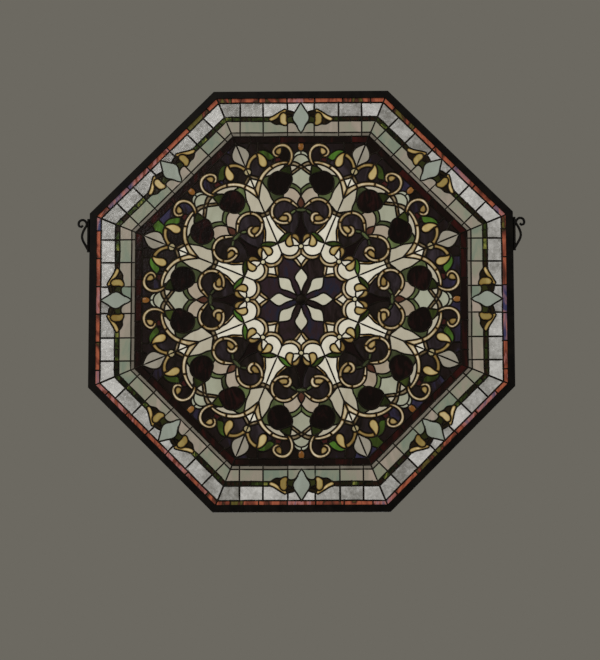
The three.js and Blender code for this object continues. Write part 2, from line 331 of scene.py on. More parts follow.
for apothem in (FIELD, RED_BAND, PALE_LINE, CLEAR_LINE, GLASS_EDGE):
    leads[f"band at {apothem}"] = [(apothem, 0), (apothem, apothem * RISE + PAST)]
for apothem in (VINE_IN, VINE_OUT):
    leads[f"vine at {apothem}"] = [(apothem, VINE_START - PAST),
                                  (apothem, apothem * RISE + PAST)]
leads["corner of the bands"] = corner_line((FIELD / math.cos(HALF_SIDE),),
                                           (GLASS_EDGE / math.cos(HALF_SIDE),))
for y in (29, 82, 132):
    past_leaf = y > VINE_START   # the inner cuts end on the flower's leaves
    leads[f"pale tile cut {y}"] = across(y, RED_BAND, VINE_IN if past_leaf else 385)
    leads[f"clear tile cut {y}"] = across(y, VINE_OUT if past_leaf else 415, CLEAR_LINE)
for y in (30, 91, 152):
    leads[f"edge cut {y}"] = across(y, CLEAR_LINE, GLASS_EDGE)
for y in (82, 107, 132, 150):
    leads[f"vine cut {y}"] = across(y, VINE_IN, VINE_OUT)
for y in (46, 110):
    leads[f"red cut {y}"] = across(y, FIELD, RED_BAND)
print(len(leads), "with the bands")

# %% The side's flower
leads |= {
    "flower": smooth((PALE_LINE, 0), (372, 5), (380, 8.5), (386, 11.5), (392, 16),
                     (398, 18), (404, 17.5), (411, 14), (417, 9.5), (424, 5.5),
                     (CLEAR_LINE, 0)),
    "pale tile's end": smooth((379.6, 8), (386, 13.5), (388.3, 20.5), (387, 27.5),
                              (381.5, 32), (382, 37), (384.6, 42.5), (385, 48),
                              (384.6, 54), (387.5, 60), (VINE_IN, VINE_START)),
    "round leaf": smooth((385.6, 28), (393, 30.5), (402, 30), (409, 32), (411.5, 37),
                         (408.5, 43.5), (402, 47), (396, 46.8), (389.5, 46.3),
                         (383.8, 41.6)),
    "calyx": smooth((399.2, 31.2), (402.2, 24), (404.4, 16.6)),
    "stalk, inside": smooth((405.8, 15.6), (406.5, 22), (407.6, 27), (409.4, 33)),
    "stalk, outside": smooth((411, 12.6), (413, 18), (414.7, 24), (415.4, 31.6)),
    "long leaf": smooth((403.6, 46), (398.5, 50.5), (394.5, 56.5),
                        (VINE_IN, VINE_START), (396.5, 70.5), (VINE_OUT, 66), (403.5, 60),
                        (408.5, 52), (414.5, 42.5), (418.7, 34.5), (416, 30.5),
                        (412.8, 32.4), (409.6, 34.4)),
}
print(len(leads), "lead lines in one sixteenth of the panel")

# %% [markdown]
# ## From the drawing to pieces
#
# Each line is now turned and mirrored round the panel sixteen times. A constrained
# Delaunay triangulation finds every crossing and splits the lines there; only its lines
# are kept, not its triangles. Then the loose ends are trimmed, and a walk that always
# turns into the leftmost line closes the outline of each piece of glass. Hand work is
# never quite regular, so every point is first moved by up to half a millimetre along
# smooth noise, the same way for all lines near it and the same way on every run.

# %% Sixteen copies and every crossing
TURNS = 8
WANDER, WANDER_SIZE = 0.55, 48.0
NEAR = 0.06                      # points closer than this are one point
ON_FOLD = 0.001                  # a line this close to a fold lies on it
LONGEST = 4 * STEP               # longest step along a straight line
noise.seed_set(8)                # or the noise is different on every run


def turned(place, turn, mirrored):
    x, y = place[0], -place[1] if mirrored else place[1]
    angle = turn * 2 * HALF_SIDE
    return Vector((x * math.cos(angle) - y * math.sin(angle),
                   x * math.sin(angle) + y * math.cos(angle)))


def by_hand(place):
    drift = noise.noise_vector(Vector((place.x, place.y, 0)) / WANDER_SIZE)
    return place + WANDER * drift.xy


def copies(path):
    """The line at its sixteen places, or at eight if it lies on a fold of the pattern."""
    on_fold = all(min(abs(y), abs(y - x * RISE)) < ON_FOLD for x, y in path)
    for turn in range(TURNS):
        for mirrored in (False,) if on_fold else (False, True):
            yield [turned(place, turn, mirrored) for place in path]


def short_steps(path):
    """The same line with more points where a straight step is too long to wander."""
    stepped = [path[0]]
    for start, end in zip(path, path[1:]):
        parts = math.ceil(math.dist(start, end) / LONGEST)
        stepped += [tuple(Vector(start).lerp(Vector(end), i / parts))
                    for i in range(1, parts + 1)]
    return stepped


points, lines = [], []
for path in leads.values():
    for copy in copies(short_steps(path)):
        first = len(points)
        points += [by_hand(place) for place in copy]
        lines += [(i, i + 1) for i in range(first, len(points) - 1)]
points, edges, _, _, drawn_by, _ = delaunay_2d_cdt(points, lines, [], 0, NEAR)
lines = [edge for edge, drawn in zip(edges, drawn_by) if drawn]
print(len(points), "points and", len(lines), "straight steps of lead")

# %% Trimmed ends and closed outlines
neighbours = defaultdict(list)
for a, b in lines:
    neighbours[a].append(b)
    neighbours[b].append(a)
loose = [p for p in neighbours if len(neighbours[p]) == 1]
while loose:
    end = loose.pop()
    if len(neighbours[end]) == 1:
        kept = neighbours[end].pop()
        neighbours[kept].remove(end)
        loose += [kept] * (len(neighbours[kept]) == 1)

after = {}
for p, others in neighbours.items():
    others.sort(key=lambda q: math.atan2(*(points[q] - points[p]).yx))
    for i, q in enumerate(others):
        after[q, p] = (p, others[i - 1])


def area(outline):
    return sum(a.x * b.y - b.x * a.y
               for a, b in zip(outline, outline[1:] + outline[:1])) / 2


outlines, rims, walked = [], [], set()
for start in after:
    walk, step = [], start
    while step not in walked:
        walked.add(step)
        walk.append(points[step[0]])
        step = after[step]
    if walk:
        (outlines if area(walk) > 0 else rims).append(walk)
print(len(outlines), "closed outlines,", len(rims), "outer rim")

# %% [markdown]
# ## Sorting the glass
#
# The outlines come out in no useful order, so each kind of glass is named by a few places
# in the wedge where it is used, and the outline round such a place is cut from that glass.
# Straight bands need no list, because the band tells the glass. What is left over is the
# dark field behind the ornament. Slivers too small to cut are left to the solder.

# %% Which glass goes where
SLIVER = 12.0                    # square millimetres
places = {
    "star_petals": [(45, 0)],
    "star_ground": [(70, 22)],
    "opal_white": [(86, 0), (108, 25), (122, 12), (150, 55), on_corner(275, -5)],
    "lily_white": [(235, 80), (284, 60), (287, 18)],
    "corner_white": [on_corner(340, -8)],
    "pearls": [PEARL],
    "pale_green": [(262, 5), (308, 5), (320, 8)],
    "pink_opal": [(230, 20)],
    "beige_ribbons": [(80.5, 7.6), (91.5, 26), (151, 38), (195, 63.2), (166.9, 41.6),
                      (180, 23), (219.2, 37), (204.8, 10.5), (269, 85), (298.5, 46),
                      (241, 94), (318, 20)],
    "brown_ribbons": [(281, 14.8), (297.5, 14), (291, 0), on_corner(286, -10),
                      on_corner(202, -5)],
    "honey_glass": [(124, 25), (300, 82)],
    "corner_knots": [on_corner(302, -4)],
    "amber_glass": [(135, 9), (177, 38), (325, 49), (308, 107)],
    "green_leaves": [(135, 37), (316, 72)],
    "sepals": [(284, 32)],
    "soft_green": [(192, 16), (196, 0), (243, 9), (225, 52), (258, 76)],
    "maroon_field": [(155, 0)],
    "russet": [(210, 0)],
    "wine_red": [(307, 50)],
    "roses": [(254, 45)],
    "amber_jewels": [(334, 0)],
    "border_flowers": [(398, 0)],
    "border_leaves": [(396, 38)],
    "long_leaves": [(401.5, 54)],
    "border_greens": [(392, 22)],
    "border_darks": [(404.5, 24), (388, 52), (411.5, 22)],
}
bands = [(300, "dark_field"), (FIELD, "outer_field"), (RED_BAND, "red_band"),
         (PALE_LINE, "milky_line"), (VINE_IN, "pale_tiles"), (VINE_OUT, "vine"),
         (CLEAR_LINE, "clear_tiles"), (GLASS_EDGE + 2, "edge_strip")]
print(len(places), "kinds of glass by place and", len(bands), "by band")


# %% Every outline to its kind
def middle(outline):
    return sum(outline, Vector((0, 0))) / len(outline)


def to_side(place):
    """Distance from the centre towards the nearest side, along that side's middle line."""
    return max(place.dot(turned((1, 0), turn, False)) for turn in range(TURNS))


def inside(place, outline):
    crossed = False
    for a, b in zip(outline, outline[1:] + outline[:1]):
        if (a.y > place.y) != (b.y > place.y):
            crossed ^= place.x < a.x + (place.y - a.y) / (b.y - a.y) * (b.x - a.x)
    return crossed


def reach(outline):
    return [(min(values), max(values)) for values in zip(*outline)]


cut = defaultdict(list)
waiting = [(outline, reach(outline)) for outline in outlines if area(outline) > SLIVER]
for kind, spots in places.items():
    for spot in [by_hand(s[0]) for place in spots for s in copies([place])]:
        for piece in waiting:
            (left, right), (down, up) = piece[1]
            if left < spot.x < right and down < spot.y < up and inside(spot, piece[0]):
                cut[kind].append(piece[0])
                waiting.remove(piece)
                break
for outline, _ in waiting:
    side = to_side(middle(outline))
    cut[next(kind for limit, kind in bands if side < limit)].append(outline)
for kind, pieces in sorted(cut.items()):
    print(f"{kind}: {len(pieces)} pieces, {sum(map(area, pieces)) / 100:.0f} square cm")

# %% [markdown]
# ## Cutting the glass
#
# A piece of window glass is a flat sheet with a ground edge. No primitive has such an
# outline, so the outline's own points are filled with triangles and the Solidify modifier
# gives them thickness. The outline stops half a millimetre short of the lead's middle,
# where the upright heart of the came stands between two pieces. Bedded pieces never lie
# quite flat, and that is what makes a window glitter, so each one gets a slight slope.
# Each also keeps a random number called `cut`, which tells its material which part of the
# sheet it came from.
#
# The narrow ribbons and the amber pieces look darker and browner beside the lead, which
# shades them from the light behind, and that shade is painted into their colour. They get a
# grid of extra points, and every point keeps `inward`: how far it lies from the edge, where
# 1 is `RIM` or more, or the middle of a narrower piece.

# %% Outlines ground back, and new pieces
GLASS = 3.0                      # thickness
HEART = 1.0                      # thickness of the came's heart
BLUNTEST = 0.25                  # keeps the point of a very sharp corner from running off


def ground_back(outline, by):
    edge = []
    for before, here, ahead in zip(outline[-1:] + outline, outline, outline[1:] + outline):
        first, second = (here - before).normalized(), (ahead - here).normalized()
        inward = Vector((-first.y - second.y, first.x + second.x))
        inward *= 2 * by / max(inward.length_squared, BLUNTEST)
        edge.append(here + inward)
    return edge


def place_in_panel(spot, depth=0.0):
    return (spot.x / MM, depth / MM, CENTRE_Z + spot.y / MM)


def only(piece):
    """Deselects everything else and makes this piece the active one."""
    bpy.ops.object.select_all(action="DESELECT")
    piece.select_set(True)
    bpy.context.view_layer.objects.active = piece
    return piece


def new_piece(name, vertices, edges, faces):
    mesh = bpy.data.meshes.new(name)
    mesh.from_pydata(vertices, edges, faces)
    piece = bpy.data.objects.new(name, mesh)
    bpy.context.scene.collection.objects.link(piece)
    return only(piece)


print("sheets", GLASS, "mm thick, held apart by a heart of", HEART, "mm")


# %% Numbers for the materials
RIM = 3.2                        # how far in the lead's shade reaches
GRID = 2.5                       # between the extra points
NEVER_ZERO = 1e-9
shaded = {"beige_ribbons", "brown_ribbons", "honey_glass", "amber_glass",
          "border_leaves", "long_leaves"}


def keep_numbers(piece, name, numbers):
    piece.data.attributes.new(name, "FLOAT", "POINT").data.foreach_set("value", numbers)


def number_the_cuts(piece, sizes):
    keep_numbers(piece, "cut",
                 [number for size in sizes for number in [shuffle.random()] * size])


def to_edge(place, outline):
    nearest = math.inf
    for a, b in zip(outline, outline[1:] + outline[:1]):
        along = (place - a).dot(b - a) / max((b - a).length_squared, NEVER_ZERO)
        nearest = min(nearest, (place - a.lerp(b, min(max(along, 0), 1))).length)
    return nearest


def inner_points(outline):
    (left, right), (down, up) = reach(outline)
    grid = (Vector((x * GRID, y * GRID))
            for x in range(math.ceil(left / GRID), math.ceil(right / GRID))
            for y in range(math.ceil(down / GRID), math.ceil(up / GRID)))
    return [spot for spot in grid
            if inside(spot, outline) and to_edge(spot, outline) > GRID / 2]


print(len(shaded), "kinds of glass are shaded along the lead")

# %% Flat pieces
SLOPE = 0.005                    # how steeply a piece may lie, as rise over run
domed = ("pearls", "amber_jewels")


def flat_glass(name):
    vertices, faces, sizes, inward = [], [], [], []
    for outline in cut[name]:
        edge = ground_back(outline, HEART / 2)
        extra = inner_points(edge) if name in shaded else []
        corners, _, triangles, *_ = delaunay_2d_cdt(edge + extra, [],
                                                    [list(range(len(edge)))], 1, NEAR)
        centre = middle(edge)
        slope = Vector((shuffle.uniform(-SLOPE, SLOPE), shuffle.uniform(-SLOPE, SLOPE)))
        faces += [[len(vertices) + i for i in triangle] for triangle in triangles]
        vertices += [place_in_panel(p, slope.dot(p - centre)) for p in corners]
        sizes.append(len(corners))
        depths = [to_edge(p, edge) if extra else RIM for p in corners]
        inward += [min(depth / min(RIM, max(depths)), 1) for depth in depths]
    piece = new_piece(name, vertices, [], faces)
    number_the_cuts(piece, sizes)
    keep_numbers(piece, "inward", inward)
    bpy.ops.object.modifier_add(type="SOLIDIFY")
    piece.modifiers["Solidify"].thickness = GLASS / MM
    piece.modifiers["Solidify"].offset = 0
    bpy.ops.object.modifier_apply(modifier="Solidify")
    print(f"{name}: {len(sizes)} pieces, {len(piece.data.polygons)} faces")
    return piece


glass = {kind: flat_glass(kind) for kind in sorted(cut) if kind not in domed}

# %% [markdown]
# ## Domed pieces
#
# The pearls and the amber jewels are pressed glass with a low dome on the front. A sphere
# pressed flat would do for the round pearls only. So each outline is stacked in rings that
# shrink towards the middle while they rise, like a cushion cut from a few slices.

# %% Pressed jewels
PEARL_RISE, JEWEL_RISE = 2.2, 2.6
DOME = [math.radians(angle) for angle in (22, 42, 60, 76)]   # its rings, seen from beside
FOLD = math.radians(50)          # a sharper edge than this stays sharp


def domed_glass(name, rise):
    rings = [(1, GLASS / 2), (1, -GLASS / 4)]
    rings += [(math.cos(a), -GLASS / 4 - rise * math.sin(a)) for a in DOME]
    vertices, faces, sizes = [], [], []
    for outline in cut[name]:
        edge = ground_back(outline, HEART / 2)
        centre, first, n = middle(edge), len(vertices), len(edge)
        for scale, depth in rings:
            vertices += [place_in_panel(centre.lerp(p, scale), depth) for p in edge]
        for ring in range(len(rings) - 1):
            low, high = first + ring * n, first + (ring + 1) * n
            faces += [(low + i, low + (i + 1) % n, high + (i + 1) % n, high + i)
                      for i in range(n)]
        faces.append([first + i for i in reversed(range(n))])
        faces.append([first + (len(rings) - 1) * n + i for i in range(n)])
        sizes.append(n * len(rings))
    piece = new_piece(name, vertices, [], faces)
    number_the_cuts(piece, sizes)
    bpy.ops.object.shade_smooth_by_angle(angle=FOLD)
    print(f"{name}: {len(cut[name])} domed pieces, {len(piece.data.polygons)} faces")
    return piece


glass["pearls"] = domed_glass("pearls", PEARL_RISE)
glass["amber_jewels"] = domed_glass("amber_jewels", JEWEL_RISE)

# %% [markdown]
# ## The came
#
# Came is H-shaped: a heart between the pieces and a rounded flange over their edges on
# both sides. With the glass in place only the two flanges show, so each lead is an oval
# bar along its line. The lines become a mesh of edges, that mesh becomes a curve, and the
# curve's bevel gives it a round section, which is then drawn out to the came's depth. A
# bar ends where it meets others, and `close_ends` caps it there, inside the solder.

# %% Oval bars along the lines
ROSETTE_CAME, BORDER_CAME = 4.7, 4.2
CAME_DEPTH = 5.5
CAME_RESOLUTION = 2              # eight sides


def close_ends():
    """Caps the active piece's open ends, with a sharp edge round each cap."""
    bpy.ops.object.mode_set(mode="EDIT")
    bpy.ops.mesh.select_mode(type="EDGE")
    bpy.ops.mesh.select_all(action="DESELECT")
    bpy.ops.mesh.select_non_manifold(extend=False, use_wire=False, use_multi_face=False,
                                     use_non_contiguous=False, use_verts=False)
    bpy.ops.mesh.mark_sharp()
    bpy.ops.mesh.fill_holes(sides=0)
    bpy.ops.object.mode_set(mode="OBJECT")


def came(name, width, steps):
    used = {p: i for i, p in enumerate(sorted({p for step in steps for p in step}))}
    piece = new_piece(name, [place_in_panel(points[p]) for p in used],
                      [(used[a], used[b]) for a, b in steps], [])
    bpy.ops.object.convert(target="CURVE")
    piece.data.bevel_depth = width / 2 / MM
    piece.data.bevel_resolution = CAME_RESOLUTION
    bpy.ops.object.convert(target="MESH")
    bpy.ops.object.mode_set(mode="EDIT")
    bpy.ops.mesh.select_all(action="SELECT")
    bpy.ops.transform.resize(value=(1, CAME_DEPTH / width, 1),
                             center_override=(0, 0, CENTRE_Z))
    bpy.ops.object.mode_set(mode="OBJECT")
    bpy.ops.object.shade_smooth()
    close_ends()
    print(f"{name}: {len(steps)} steps, {len(piece.data.polygons)} faces")
    return piece


def steps_between(nearest, farthest):
    """Steps of lead whose middle lies between two octagons, given by their apothem."""
    return [(a, b) for a in neighbours for b in neighbours[a]
            if a < b and nearest <= to_side((points[a] + points[b]) / 2) < farthest]


CLEAR_OF = 1                     # keeps steps on an octagon on its outer side
rosette_came = came("rosette_came", ROSETTE_CAME, steps_between(0, FIELD - CLEAR_OF))
border_came = came("border_came", BORDER_CAME,
                   steps_between(FIELD - CLEAR_OF, GLASS_EDGE - CLEAR_OF))

# %% [markdown]
# ## Solder
#
# Every place where leads meet is soldered on both faces. The iron leaves a flat, slightly
# uneven blob a little wider than the came. One small sphere through the joint makes both
# blobs, because only its two low caps stand out of the came. It is copied to every meeting
# point with its own size. At the centre sixteen leads meet, and there the solder is one
# round disc.

# %% Blobs at the meeting points
BLOB, BLOB_DEPTH = 2.9, 3.0      # radius across, half the depth
SIZES, DENTS = (0.85, 1.15), (0.95, 1.05)
ONE_JOINT = 2                    # meeting points closer than this share a blob
bpy.ops.object.select_all(action="DESELECT")
bpy.ops.mesh.primitive_uv_sphere_add(segments=8, ring_count=4, radius=1,
                                     rotation=(math.pi / 2, 0, 0))
blob = bpy.context.object
bpy.ops.object.transform_apply()
blob_vertices = [v.co.copy() for v in blob.data.vertices]
blob_faces = [tuple(f.vertices) for f in blob.data.polygons]
bpy.data.objects.remove(blob)

meetings = [points[p] for p, others in neighbours.items()
            if len(others) > 2 and points[p].length > HUB + ONE_JOINT
            and to_side(points[p]) < GLASS_EDGE - CLEAR_OF]
spread = []
for spot in meetings:
    if all((spot - other).length > ONE_JOINT for other in spread):
        spread.append(spot)
vertices, faces = [], []
for spot in spread:
    size, first = BLOB * shuffle.uniform(*SIZES), len(vertices)
    for v in blob_vertices:
        vertices.append(place_in_panel(spot + Vector((v.x, v.z)) * size,
                                       v.y * BLOB_DEPTH * shuffle.uniform(*DENTS)))
    faces += [[first + i for i in face] for face in blob_faces]
solder = new_piece("solder_joints", vertices, [], faces)
bpy.ops.object.shade_smooth()
print(f"{len(spread)} soldered joints")

# %% The disc at the centre
bpy.ops.object.select_all(action="DESELECT")
bpy.ops.mesh.primitive_uv_sphere_add(segments=40, ring_count=12, radius=1,
                                     rotation=(math.pi / 2, 0, 0))
hub = bpy.context.object
hub.name = hub.data.name = "centre_solder"
bpy.ops.object.transform_apply()
bpy.ops.object.mode_set(mode="EDIT")
bpy.ops.mesh.select_all(action="SELECT")
bpy.ops.transform.resize(value=((HUB + 1) / MM, BLOB_DEPTH / MM, (HUB + 1) / MM))
bpy.ops.transform.translate(value=(0, 0, CENTRE_Z))
bpy.ops.object.mode_set(mode="OBJECT")
bpy.ops.object.shade_smooth()
print(hub.name, "is", round(hub.dimensions.x * MM), "mm across")

# %% [markdown]
# ## The hooks
#
# A straight leg is welded along the frame's side. A second rod bows out from the leg's
# foot, comes back to touch it near the top, and curls over into the loop that the panel
# hangs by. Spun arcs would show where one bend ends and the next begins, so the rod is a
# curve through all its bends, with a round bevel.

# %% Bent rods
ROD = 2.8                        # radius
LEG_X = 460.3                    # from the panel's middle line
LEG_FOOT, LEG_TOP = 105, 178
bow = [(LEG_X, 110), (466.6, 121), (472, 131), (474, 140), (472, 149), (467.8, 158),
       (463.9, 165), (465.4, 171.5), (471.3, 176), (478.3, 174.4), (481.6, 168.5),
       (480, 162.4), (475.4, 160.6), (472.4, 164.2)]


def rod(name, *paths):
    curve = bpy.data.curves.new(name, "CURVE")
    curve.dimensions, curve.bevel_depth, curve.bevel_resolution = "3D", ROD / MM, 4
    for path in paths:
        spline = curve.splines.new("POLY")
        spline.points.add(len(path) - 1)
        for point, place in zip(spline.points, path):
            point.co = (*place_in_panel(Vector(place)), 1)
    piece = bpy.data.objects.new(name, curve)
    bpy.context.scene.collection.objects.link(piece)
    only(piece)
    bpy.ops.object.convert(target="MESH")
    close_ends()
    bpy.ops.object.shade_smooth_by_angle(angle=math.radians(40))
    return piece


hooks = []
for side, hand in (("right", 1), ("left", -1)):
    leg = [(hand * LEG_X, LEG_FOOT), (hand * LEG_X, LEG_TOP)]
    curl = [(hand * x, z) for x, z in smooth(*bow)]
    hooks.append(rod(f"rod_hook_{side}", leg, curl))
print("two hooks of", round(2 * ROD, 1), "mm rod")

# %% [markdown]
# ## Shader arithmetic
#
# A finish is a small graph of nodes. It could be wired by hand in the shader editor, but
# a script is easier to read back. `Wire` holds one output socket and turns ordinary
# arithmetic on numbers into Math nodes, so that a pattern reads as a formula. `Finish`
# starts a material, and its `node` method adds any other node with its settings and its
# inputs.

# %% Wires
class Wire:
    def __init__(self, tree, socket):
        self.tree, self.socket = tree, socket

    def math(self, operation, first, second):
        node = self.tree.nodes.new("ShaderNodeMath")
        node.operation = operation
        for socket, value in zip(node.inputs, (first, second)):
            if isinstance(value, Wire):
                self.tree.links.new(value.socket, socket)
            else:
                socket.default_value = value
        return Wire(self.tree, node.outputs[0])

    def __add__(self, other): return self.math("ADD", self, other)
    def __radd__(self, other): return self.math("ADD", other, self)
    def __sub__(self, other): return self.math("SUBTRACT", self, other)
    def __rsub__(self, other): return self.math("SUBTRACT", other, self)
    def __mul__(self, other): return self.math("MULTIPLY", self, other)
    def __rmul__(self, other): return self.math("MULTIPLY", other, self)


def tone(shade):
    """A colour as light adds it, from its everyday values of 0 to 255."""
    return (*((c / 255 / 12.92 if c < 10.3 else ((c / 255 + 0.055) / 1.055) ** 2.4)
              for c in shade), 1.0)


print("everyday grey 128 as light adds it:", round(tone((128,))[0], 3))


# %% Finishes
class Finish:
    def __init__(self, name):
        self.material = bpy.data.materials.new(name)
        self.material.use_nodes = True
        self.tree = self.material.node_tree
        self.shader = self.tree.nodes["Principled BSDF"]

    def node(self, kind, output=0, settings=None, stops=None, **inputs):
        node = self.tree.nodes.new("ShaderNode" + kind)
        for name, value in (settings or {}).items():
            setattr(node, name, value)
        if stops:
            ramp = node.color_ramp
            while len(ramp.elements) < len(stops):
                ramp.elements.new(0.5)
            for element, (position, colour) in zip(ramp.elements, stops):
                element.position, element.color = position, colour
        self.join(node, inputs)
        return Wire(self.tree, node.outputs[output])

    def join(self, node, inputs):
        for name, value in inputs.items():
            socket = node.inputs[int(name[1:]) if name[1:].isdigit()
                                 else name.replace("_", " ")]
            if isinstance(value, Wire):
                self.tree.links.new(value.socket, socket)
            else:
                socket.default_value = value

    def surface(self, **inputs):
        self.join(self.shader, inputs)
        return self.material

    def place(self):
        return self.node("TexCoord", output="Object")

    def noise(self, vector, scale, detail=2.0, distortion=0.0):
        return self.node("TexNoise", output="Fac", Vector=vector, Scale=scale,
                         Detail=detail, Distortion=distortion)

    def colours(self, amount, *named, ease="LINEAR"):
        finish = self.node("ValToRGB", output="Color", Fac=amount,
                           stops=[(at, tone(shade)) for at, shade in named])
        finish.socket.node.color_ramp.interpolation = ease
        return finish


def dress(piece, material):
    piece.data.materials.clear()
    piece.data.materials.append(material)


print("a finish has", [name for name in vars(Finish) if name.islower()][:8])

# %% [markdown]
# ## Glass that holds its own light
#
# Opalescent glass scatters the light that comes through it, so a lit window shows even
# colour, not a view of what is behind. Following a ray through both faces of a thousand
# thin pieces would be slow and grainy. Instead each sheet is a glossy surface with a
# little of its own light, in its own colour: the part of the window's brightness that
# comes through from behind. Every sheet is streaked, and each piece was cut from its own
# part of it: `cut` moves the pattern along and makes a piece lighter or darker.

# %% Streaked opalescent sheets
SHIFT = (3.1, 1.7, 5.3)          # how far apart two pieces can lie on the sheet
STRETCH = (1, 1, 0.35)           # turns blots into streaks
GLOW = 0.42


def kept_number(finish, name):
    return finish.node("Attribute", output="Fac", settings={"attribute_name": name})


def cut_from_sheet(finish):
    """The piece's own number, and a place on the sheet that it was cut from."""
    number = kept_number(finish, "cut")
    shift = finish.node("CombineXYZ", X=number * SHIFT[0], Y=number * SHIFT[1],
                        Z=number * SHIFT[2])
    return number, finish.node("VectorMath", settings={"operation": "ADD"},
                               _0=finish.place(), _1=shift)


def sheet(name, shades, glow=GLOW, streak=28.0, vary=0.3, edge=None):
    """`vary` sets how much pieces differ, and `edge` is the colour of the painted shade
    beside the lead.
    """
    finish = Finish(name)
    number, spot = cut_from_sheet(finish)
    turn = finish.node("CombineXYZ", Y=number * 9.0)
    along = finish.node("Mapping", Vector=spot, Rotation=turn, Scale=STRETCH)
    streaks = finish.noise(along, streak, 4.0, 1.4)
    cloud = finish.noise(spot, streak * 0.4, 1.0)
    mixed = streaks * 1.5 - 0.25 + (number - 0.5) * vary + (cloud - 0.5) * 0.5
    steps = [i / (len(shades) - 1) for i in range(len(shades))]
    colour = finish.colours(mixed, *zip(steps, shades))
    if edge:
        # painted shade: beside the lead the colour is mixed towards `edge`, for the lead's
        # shadow on the glass
        colour = finish.node("Mix", output=2, settings={"data_type": "RGBA"},
                             _0=kept_number(finish, "inward") * 2.2 - 1.0,
                             _6=tone(edge), _7=colour)
    bump = finish.node("Bump", output="Normal", Height=finish.noise(spot, 190, 2.0),
                       Strength=0.25, Distance=0.001)
    return finish.surface(Base_Color=colour, Emission_Color=colour, Normal=bump,
                          Emission_Strength=glow, Roughness=0.16,
                          Specular_IOR_Level=0.3)


print("a sheet gives off", GLOW, "of its colour as light, a dark one less")

# %% The rosette's pale, green and amber glass
# an `edge` colour is painted shade: the lead's shadow on the glass beside it
sheets = {
    "star_petals": sheet("star opal", [(184, 180, 160), (202, 200, 180)]),
    "opal_white": sheet("opal white", [(202, 195, 172), (216, 211, 194),
                                       (226, 221, 205)]),
    "lily_white": sheet("lily white", [(168, 160, 140), (188, 182, 163)]),
    "corner_white": sheet("corner white", [(134, 128, 114), (162, 156, 143)]),
    "pearls": sheet("pearl", [(176, 166, 128), (208, 200, 164)]),
    "pale_green": sheet("pale green", [(148, 148, 128), (172, 176, 156)]),
    "pink_opal": sheet("pink opal", [(152, 138, 118), (180, 168, 152)]),
    "beige_ribbons": sheet(
        "beige ribbon", [(150, 128, 84), (196, 180, 144), (222, 209, 180)],
        streak=60, vary=0.5, edge=(112, 84, 38)),
    "brown_ribbons": sheet("brown ribbon", [(92, 78, 52), (156, 142, 114)], vary=0.5,
                           edge=(64, 48, 22)),
    "honey_glass": sheet("honey", [(156, 132, 76), (182, 162, 108), (200, 184, 138)],
                         edge=(120, 90, 36)),
    "amber_glass": sheet("amber", [(110, 86, 42), (150, 127, 76), (178, 156, 106)],
                         edge=(88, 62, 22)),
    "amber_jewels": sheet("amber jewel", [(104, 60, 20), (146, 102, 50)]),
    "corner_knots": sheet("knot opal", [(146, 134, 98), (174, 162, 124)]),
    "green_leaves": sheet("leaf green", [(28, 34, 8), (52, 68, 24), (72, 112, 38)],
                          streak=50, vary=0.8),
    "sepals": sheet("sepal green", [(18, 22, 6), (36, 44, 15), (58, 68, 26)], vary=0.5),
    "soft_green": sheet("moss green", [(32, 34, 18), (68, 76, 48), (100, 114, 70)],
                        vary=0.5),
}
print(len(sheets), "pale, green and amber sheets")

# %% The rosette's dark and red glass
DIM = 0.3                        # what a dark sheet gives off
sheets |= {
    "star_ground": sheet(
        "smoky brown", [(22, 14, 12), (38, 28, 27), (46, 32, 38), (34, 35, 50)], DIM,
        streak=60, vary=0.8),
    "maroon_field": sheet("maroon", [(10, 3, 2), (24, 12, 12)], 0.25),
    "dark_field": sheet(
        "night brown", [(12, 8, 6), (28, 21, 18), (38, 31, 34), (56, 48, 54)], DIM,
        streak=42, vary=0.5),
    "outer_field": sheet(
        "night blue", [(14, 7, 4), (24, 15, 12), (30, 22, 24), (50, 46, 72)], DIM,
        vary=0.7),
    "russet": sheet("russet", [(52, 20, 16), (80, 48, 36), (100, 70, 54)]),
    "wine_red": sheet("wine red", [(34, 12, 12), (56, 22, 21), (76, 34, 32)]),
    "roses": sheet("rose red", [(5, 2, 1), (13, 5, 4), (40, 15, 14)], DIM, streak=80),
}
print(len(sheets), "sheets with the dark and red ones")

# %% The border's glass
# the leaves' `edge` colours are painted shade beside the lead
sheets |= {
    "border_flowers": sheet("flower opal", [(130, 136, 124), (152, 160, 150)]),
    "border_leaves": sheet(
        "leaf amber", [(128, 106, 54), (156, 138, 82), (194, 174, 128)], vary=0.6,
        edge=(114, 88, 36)),
    "long_leaves": sheet(
        "long leaf amber", [(152, 128, 72), (186, 164, 110), (228, 206, 160)],
        vary=0.6, edge=(138, 112, 58)),
    "border_greens": sheet("bud green", [(20, 20, 4), (50, 54, 22)]),
    "border_darks": sheet("bud brown", [(14, 9, 2), (42, 32, 16)], DIM),
    "red_band": sheet("dark red", [(12, 5, 3), (20, 8, 6), (56, 15, 12)], DIM, vary=0.5),
    "milky_line": sheet("milky line", [(94, 87, 77), (126, 121, 109)]),
    "pale_tiles": sheet(
        "pale tile", [(116, 128, 112), (134, 136, 118), (144, 136, 122),
                      (160, 147, 134)], streak=32, vary=0.8),
    "vine": sheet(
        "vine", [(8, 10, 4), (20, 26, 9), (38, 16, 11), (32, 42, 15), (58, 72, 27),
                 (138, 138, 68)], DIM, streak=90, vary=0.7),
    "edge_strip": sheet(
        "edge glass", [(92, 84, 38), (54, 34, 26), (120, 60, 44), (164, 90, 64),
                       (148, 78, 56), (98, 48, 38), (170, 108, 100), (126, 94, 104),
                       (58, 56, 90)], streak=34, vary=0.8),
}
print(len(sheets), "sheets with the border's")
